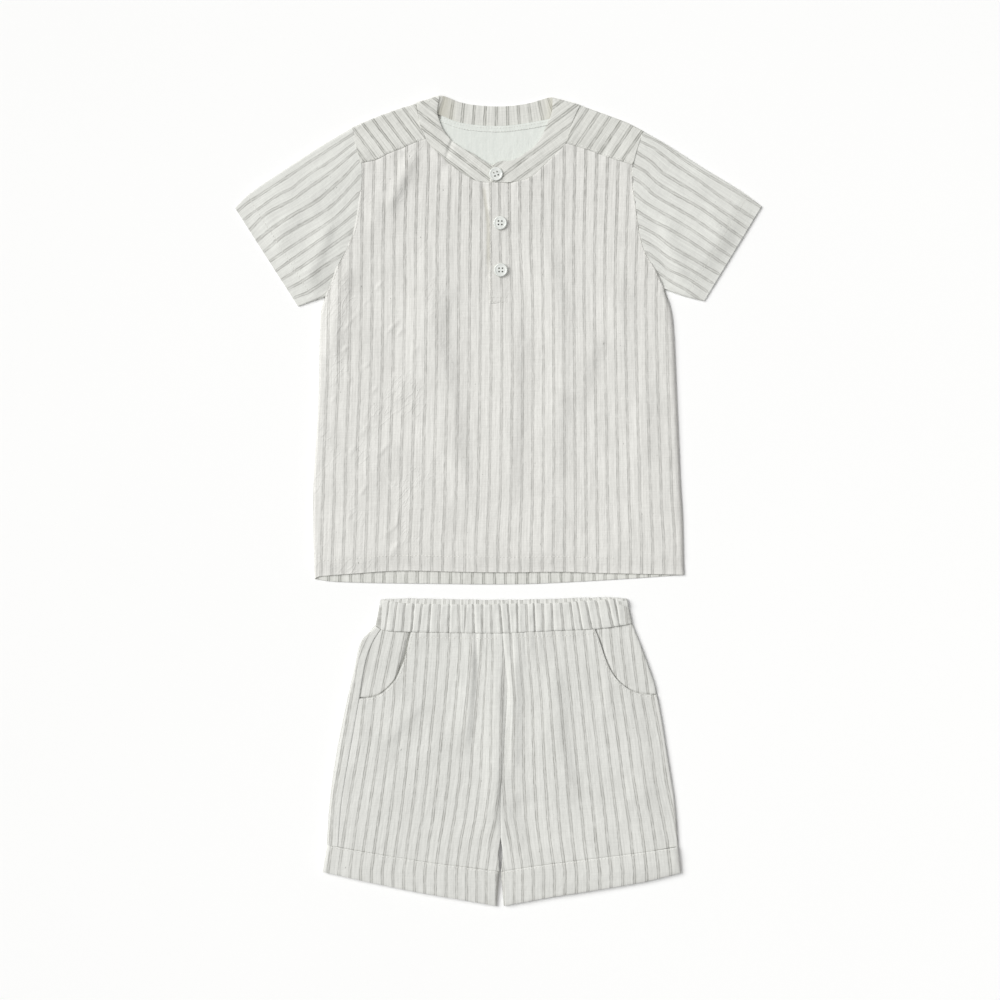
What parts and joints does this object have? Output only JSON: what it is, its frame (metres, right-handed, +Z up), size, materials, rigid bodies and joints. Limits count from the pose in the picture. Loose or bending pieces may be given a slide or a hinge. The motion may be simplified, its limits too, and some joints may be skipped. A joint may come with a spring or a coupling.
{
  "type": "child's shirt and shorts set",
  "caption": "Child's summer set, laid flat: short-sleeved band-collar shirt with placket and buttons, and gathered pull-on shorts, striped cotton-linen",
  "frame": {"origin": "on the surface that the set lies on, below the middle of its box", "axes": "+X to the right as the set is seen from above, +Y up towards the collar, +Z up off the surface"},
  "size_m": [0.4476, 0.6888, 0.0082],
  "materials": {
    "striped_cloth": "plain-woven cotton and linen, cream with narrow grey double stripes, matt",
    "plain_cloth": "plain white cotton, matt",
    "button_plastic": "polished white resin"
  },
  "bodies": {
    "root": {"shirt_front": "striped_cloth", "shirt_back": "striped_cloth", "yoke_left": "striped_cloth", "yoke_right": "striped_cloth", "sleeve_left": "striped_cloth", "sleeve_right": "striped_cloth", "collar": "striped_cloth", "placket": "striped_cloth", "neck_facing": "plain_cloth", "neck_tape": "plain_cloth", "button_1": "button_plastic", "button_2": "button_plastic", "button_3": "button_plastic", "waistband": "striped_cloth", "shorts_front_left": "striped_cloth", "shorts_front_right": "striped_cloth", "shorts_back_left": "striped_cloth", "shorts_back_right": "striped_cloth", "pocket_left": "striped_cloth", "pocket_right": "striped_cloth", "cuff_left": "striped_cloth", "cuff_right": "striped_cloth"}
  },
  "joints": []
}
